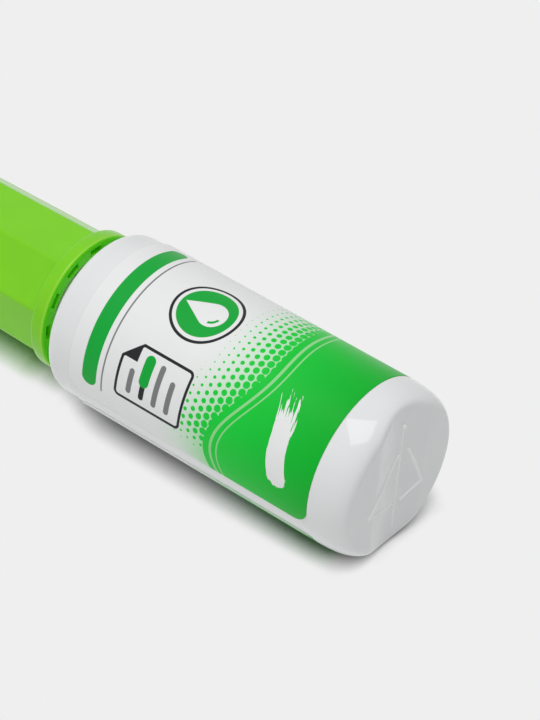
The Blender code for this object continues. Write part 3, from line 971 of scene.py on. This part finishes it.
def cap_round_rows():
    """Profile of the cap's round parts: from the cavity's end down the bore, and round the flange."""
    cavity_end = CAP_END - CAP_END_WALL
    narrow = CAVITY_RADIUS - (cavity_end - CAP_LEDGE) * CAVITY_DRAFT
    flange_top = CAP_MOUTH + FLANGE_HEIGHT
    return rounded([
        (0.0, cavity_end),
        (narrow, cavity_end, CAVITY_ROUND),
        (CAVITY_RADIUS, CAP_LEDGE, CAP_LEDGE_ROUND),
        (CAP_BORE, CAP_LEDGE, CAP_LEDGE_ROUND),
        (CAP_BORE, CAP_MOUTH + MOUTH_CHAMFER_DEPTH, MOUTH_CHAMFER_INNER_ROUND),
        (CAP_BORE + MOUTH_CHAMFER_WIDTH, CAP_MOUTH, MOUTH_CHAMFER_OUTER_ROUND),
        (POCKET_INNER, CAP_MOUTH),
        (POCKET_OUTER, CAP_MOUTH),
        (FLANGE_RADIUS, CAP_MOUTH, FLANGE_MOUTH_ROUND),
        (FLANGE_RADIUS, flange_top, FLANGE_ROUND),
        (FLANGE_RADIUS - FLANGE_LEDGE, flange_top),
    ])


def cap_wall_rows():
    """Rows (inset, height) of the octagonal wall, from the flange to the rounded end."""
    flange_top = CAP_MOUTH + FLANGE_HEIGHT
    wall_end = CAP_END - CAP_END_ROUND
    rows = [(0.0, flange_top), (0.0, flange_top + CAP_FOOT)]
    for k in range(1, CAP_WALL_STEPS):
        rows.append((0.0, flange_top + (wall_end - flange_top) * k / CAP_WALL_STEPS))
    return rows + arc((-CAP_END_ROUND, wall_end), (CAP_END_ROUND, CAP_END_ROUND), 0, 90, CAP_END_STEPS)


def sink_pockets(bm, turns, row):
    """Sinks the pockets' faces, in one row of the cap's grid, into the flange and walls them in."""
    degrees = np.degrees(turns)
    in_pocket = ((degrees - POCKET_FIRST) % POCKET_PITCH) < POCKET_SPAN - DEGREE_TOLERANCE
    openings = [bm.faces[row * len(turns) + k] for k in np.flatnonzero(in_pocket)]
    depth = Vector((POCKET_DEPTH, 0.0, 0.0))
    sunk = {}
    for face in openings:
        for vert in face.verts:
            if vert not in sunk:
                sunk[vert] = bm.verts.new(vert.co - depth)
    for face in openings:
        bm.faces.new([sunk[vert] for vert in face.verts])
        for loop in face.loops:
            if all(other in openings for other in loop.edge.link_faces):
                continue
            here = loop.vert
            there = loop.link_loop_next.vert
            bm.faces.new([here, there, sunk[there], sunk[here]])
    bmesh.ops.delete(bm, geom=openings, context="FACES")


def cap_mesh():
    """Tapered octagon on a round flange, hollow, with pockets in the flange's underside."""
    turns = cap_turns()
    flange_top = CAP_MOUTH + FLANGE_HEIGHT
    round_rows = cap_round_rows()
    rows = [(np.full_like(turns, radius), height) for radius, height in round_rows]
    for inset, height in cap_wall_rows():
        apothem = CAP_APOTHEM - (height - flange_top) * CAP_DRAFT + inset
        rows.append((octagon(turns, apothem, CAP_CORNER), height))
    rows.append((rows[-1][0] * CAP_END_RING, CAP_END))
    rows.append((turns * 0.0, CAP_END))
    bm = skin(np.stack([put(radius, turns, height) for radius, height in rows]))
    sink_pockets(bm, turns, round_rows.index((POCKET_INNER, CAP_MOUTH)))
    return mesh_of("cap_body", bm)


def wiper_mesh():
    """Flanged plug with a tube and a soft lip that slopes in to the brush."""
    top = BASE - wiper_low.x
    lip = BASE - wiper_high.x
    flange = (wiper_high.y - wiper_low.y) / 2
    return turned("wiper_plug", rounded([
        (WIPER_HOLE, lip, 0.2 * MM),
        (WIPER_OUTER, lip + WIPER_LIP_RISE, 0.3 * MM),
        (WIPER_OUTER, NECK_TOP + WIPER_SEAT, 0.1 * MM),
        (flange, NECK_TOP + WIPER_SEAT, 0.15 * MM),
        (flange, top, 0.25 * MM),
        (WIPER_INNER, top, 0.25 * MM),
        (WIPER_INNER, lip + WIPER_LIP_RISE + WIPER_LIP_DEPTH, 0.5 * MM),
        (WIPER_HOLE, lip + WIPER_LIP_DEPTH, 0.25 * MM),
    ], closed=True))


def washer_mesh():
    """A flat ring with rounded edges, loose on the stem."""
    low = BASE - washer_high.x
    high = BASE - washer_low.x
    outer = (washer_high.y - washer_low.y) / 2
    inner = STEM_RADIUS + WASHER_CLEARANCE
    corners = [(outer, low), (outer, high), (inner, high), (inner, low)]
    return turned("foam_washer", rounded([(*corner, WASHER_ROUND) for corner in corners], closed=True))


def stem_mesh():
    """Rod with a bristle socket, and a head whose spigot plugs into the cap."""
    spigot_top = BASE - stem_low.x
    head = (stem_high.z - stem_low.z) / 2
    return turned("applicator_stem", rounded([
        (0.0, STEM_END + SOCKET_DEPTH),
        (SOCKET_RADIUS, STEM_END + SOCKET_DEPTH, 0.2 * MM),
        (SOCKET_RADIUS, STEM_END, 0.1 * MM),
        (STEM_RADIUS, STEM_END, 0.25 * MM),
        (STEM_RADIUS, HEAD_LOW, 0.3 * MM),
        (head, HEAD_LOW, 0.3 * MM),
        (head, HEAD_HIGH, 0.25 * MM),
        (SPIGOT_OUTER, HEAD_HIGH, 0.1 * MM),
        (SPIGOT_OUTER, spigot_top, 0.3 * MM),
        (SPIGOT_INNER, spigot_top, 0.3 * MM),
        (SPIGOT_INNER, HEAD_HIGH, 0.4 * MM),
        (0.0, HEAD_HIGH),
    ]), STEM_SEGMENTS)


def tuft_mesh():
    """Fine strands from the socket that spread a little and end in a domed tip."""
    draw = np.random.default_rng(TUFT_SEED)
    root = BASE - tuft_low.x
    tip = BASE - tuft_high.x
    share = np.linspace(0.0, 1.0, STRAND_STEPS)
    around = TAU * np.arange(STRAND_SIDES) / STRAND_SIDES
    ring = np.stack([np.zeros_like(around), np.sin(around), np.cos(around)], axis=-1)
    thickness = STRAND_RADIUS * np.concatenate([[0.0], 1.0 - STRAND_TAPER * share ** 3, [0.0]])
    grids = []
    for k in range(STRAND_COUNT):
        reach = math.sqrt((k + 0.5) / STRAND_COUNT)
        turn = k * GOLDEN_TURN
        end = tip + TUFT_CROWN * reach ** 2 + draw.uniform(0.0, STRAND_UNEVENNESS)
        height = root + (end - root) * share
        free = np.clip((STEM_END - height) / (STEM_END - tip), 0.0, 1.0)
        sway = draw.normal(0.0, STRAND_SWAY, 2)
        spread = TUFT_ROOT_RADIUS * reach * (1.0 + (TUFT_SPLAY - 1.0) * free)
        across = spread * math.sin(turn) + sway[0] * free ** 2
        up = spread * math.cos(turn) + sway[1] * free ** 2
        centre = np.stack([BASE - height, across, AXIS + up], axis=-1)
        centre = np.concatenate([centre[:1], centre, centre[-1:]])
        grids.append(centre[:, None] + ring * thickness[:, None, None])
    return mesh_of("bristles", skin(*grids))


def ball_mesh():
    """A ball of even quads."""
    centre = (ball_low + ball_high) / 2
    radius = (ball_high.x - ball_low.x) / 2
    bm = bmesh.new()
    bmesh.ops.create_cube(bm, size=2.0)
    bmesh.ops.subdivide_edges(bm, edges=bm.edges, cuts=BALL_CUTS, use_grid_fill=True)
    for vert in bm.verts:
        even = Vector([math.tan(part * math.pi / 4) for part in vert.co])
        vert.co = centre + even.normalized() * radius
    return mesh_of("steel_ball", bm)


def build_object():
    """All pieces of the object. The bristle anchor keeps its solid and gets a metal of its own."""
    white = bottle_material()
    # Painted highlight: the raised lines on the base get a lighter plastic than the bottle.
    painted_highlight_white = painted_highlight_material()
    piece(bottle_mesh(), "bottle", white, "bottle")
    for name, width, rise, corners in BASE_LINES:
        path = [tuple(part * MM for part in corner) for corner in corners]
        piece(base_line_mesh(name, path, width * MM, rise * MM), "bottle", painted_highlight_white)
    thread = thread_mesh("neck_thread", NECK_RADIUS, 1.0, DECK + THREAD_START)
    piece(thread, "bottle", white)
    piece(label_mesh(), "bottle", label_material(), "label")
    piece(wiper_mesh(), "bottle", wiper_material(), "neck_wiper")
    piece(washer_mesh(), "washer", foam_material(), "sealing_washer")
    piece(stem_mesh(), "brush", stem_material(), "brush_stem")
    piece(tuft_mesh(), "brush", bristle_material(), "bristle_tuft")
    steel = steel_material("ball_steel", (0.50, 0.51, 0.53), (0.68, 0.69, 0.71), (1.0, 1.0, 1.0))
    piece(ball_mesh(), "ball", steel, "mixing_ball")
    green = cap_material()
    piece(cap_mesh(), "cap", green, "cap_shell")
    inner_thread = thread_mesh("cap_thread", CAP_BORE, -1.0, DECK + THREAD_START + THREAD_PITCH / 2)
    piece(inner_thread, "cap", green)
    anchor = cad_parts["bristle_anchor"]
    metal = steel_material("anchor_metal", (0.55, 0.53, 0.49), (0.74, 0.72, 0.67), (0.1, 1.0, 1.0))
    anchor.data.materials.clear()
    anchor.data.materials.append(metal)


def floor_material():
    """Pale paper that fades into the background where the object doesn't shade it."""
    surface = Surface("floor_paper", Roughness=0.9, Specular_IOR_Level=0.0)
    tree = surface.tree
    shade = (FLOOR_SHADE,) * 3
    mottle = tuple(FLOOR_MOTTLE * part for part in shade)
    surface.colour(surface.mix(surface.noise(40 * MM), mottle, shade))
    # Painted shadow: green tints under the cap and under the label's print, and a darker shadow behind the
    # object, set by place on the floor.
    x = surface.part("Object", "X")
    under_cap = ((CAP_SHADOW_START - x) * (1 / CAP_SHADOW_BLEND)).clamp()
    under_label = ((x - LABEL_SHADOW_START) * (1 / LABEL_SHADOW_BLEND)).clamp()
    under_label = under_label * ((LABEL_SHADOW_END - x) * (1 / LABEL_SHADOW_END_BLEND)).clamp()
    behind = (surface.part("Object", "Y") * (1 / BACK_SHADOW_BLEND)).clamp()

    open_sky = tree.nodes.new("ShaderNodeAmbientOcclusion")
    open_sky.samples = SHADOW_SAMPLES
    open_sky.inputs["Distance"].default_value = SHADOW_REACH
    darkest = SHADOW_DARK + BACK_SHADOW_DARK * behind
    darkest = darkest + CAP_SHADOW_DARK * under_cap + LABEL_SHADOW_DARK * under_label
    slope = SHADOW_SLOPE + LABEL_SHADOW_SLOPE * under_label
    clear = ((Field(tree, open_sky.outputs["AO"]) - darkest) * slope).clamp()

    # Painted shadow colour: a darker floor where it is shaded, tinted green under the cap and under the
    # label's print.
    contact = surface.mix(under_cap, (SHADOW_SHADE,) * 3, CAP_SHADOW_SHADE)
    near = tree.nodes.new("ShaderNodeBsdfDiffuse")
    surface.plug(surface.mix(under_label, contact, LABEL_SHADOW_SHADE), near.inputs["Color"])
    fringe = surface.mix(under_cap, shade, CAP_SHADOW_FRINGE)
    fringe = surface.mix(under_label, fringe, LABEL_SHADOW_FRINGE)
    background = tree.nodes.new("ShaderNodeEmission")
    surface.plug(surface.mix(clear, fringe, shade), background.inputs["Color"])

    path = tree.nodes.new("ShaderNodeLightPath")
    seen = Field(tree, path.outputs["Is Camera Ray"]).max(Field(tree, path.outputs["Is Glossy Ray"]))
    shown = mix_shaders(tree, clear, near.outputs[0], background.outputs[0])
    floor = mix_shaders(tree, seen, surface.shader.outputs[0], shown)
    tree.links.new(floor, tree.nodes["Material Output"].inputs["Surface"])
    return surface.material


def build_floor():
    """Pale floor that keeps the object's shadow."""
    bm = bmesh.new()
    bmesh.ops.create_grid(bm, x_segments=FLOOR_CELLS, y_segments=FLOOR_CELLS, size=FLOOR_SIZE / 2)
    floor = bpy.data.objects.new("studio_floor", mesh_of("studio_floor", bm))
    bpy.context.scene.collection.objects.link(floor)
    floor.data.materials.append(floor_material())


def build_world():
    """Soft sky, brightest overhead and a little towards the cap, and dimmer at the back.

    The camera, reflections and light through clear pieces see the background's even shade.
    """
    world = bpy.data.worlds.new("studio")
    bpy.context.scene.world = world
    world.use_nodes = True
    tree = world.node_tree
    tree.nodes.clear()
    place = tree.nodes.new("ShaderNodeTexCoord")
    split = tree.nodes.new("ShaderNodeSeparateXYZ")
    tree.links.new(place.outputs["Generated"], split.inputs[0])
    tilted = [Field(tree, split.outputs[k]) * part for k, part in enumerate(SKY_TILT)]
    strength = (tilted[0] + tilted[1] + tilted[2]).max(0.0) * SKY_RISE + SKY_LOW
    strength = strength * (1.0 - SKY_BACK * Field(tree, split.outputs["Y"]).max(0.0))
    light = tree.nodes.new("ShaderNodeBackground")
    light.inputs["Color"].default_value = (1.0, 1.0, 1.0, 1.0)
    tree.links.new(strength.socket, light.inputs["Strength"])
    background = tree.nodes.new("ShaderNodeBackground")
    background.inputs["Color"].default_value = (FLOOR_SHADE, FLOOR_SHADE, FLOOR_SHADE, 1.0)
    path = tree.nodes.new("ShaderNodeLightPath")
    seen = Field(tree, path.outputs["Is Camera Ray"])
    for kind in ("Is Glossy Ray", "Is Transmission Ray"):
        seen = seen.max(Field(tree, path.outputs[kind]))
    output = tree.nodes.new("ShaderNodeOutputWorld")
    sky = mix_shaders(tree, seen, light.outputs[0], background.outputs[0])
    tree.links.new(sky, output.inputs["Surface"])


def build_key_light():
    """Square softbox overhead, a little towards the front."""
    data = bpy.data.lights.new("softbox", "AREA")
    data.shape = "SQUARE"
    data.size = KEY_SIZE
    data.energy = KEY_RADIANCE * math.pi * KEY_SIZE ** 2
    lamp = bpy.data.objects.new("softbox", data)
    bpy.context.scene.collection.objects.link(lamp)
    direction = Vector(KEY_DIRECTION).normalized()
    lamp.location = direction * KEY_DISTANCE
    roll = Quaternion(direction, KEY_ROLL)
    lamp.rotation_euler = (roll @ (-direction).to_track_quat("-Z", "Y")).to_euler()
    lamp.visible_camera = False


def build_camera():
    data = bpy.data.cameras.new("photo_camera")
    data.sensor_fit = "HORIZONTAL"
    data.sensor_width = SENSOR_WIDTH
    data.lens = FOCAL_PIXELS * SENSOR_WIDTH / IMAGE_WIDTH_PIXELS
    data.clip_start = CAMERA_NEAR
    data.clip_end = CAMERA_FAR
    camera = bpy.data.objects.new("photo_camera", data)
    bpy.context.scene.collection.objects.link(camera)
    camera.location = CAMERA_PLACE
    camera.rotation_euler = (math.pi / 2 - CAMERA_ELEVATION, 0.0, CAMERA_AZIMUTH)
    bpy.context.scene.camera = camera


build_object()
build_floor()
build_world()
build_key_light()
build_camera()
bpy.context.scene.view_settings.view_transform = "Standard"
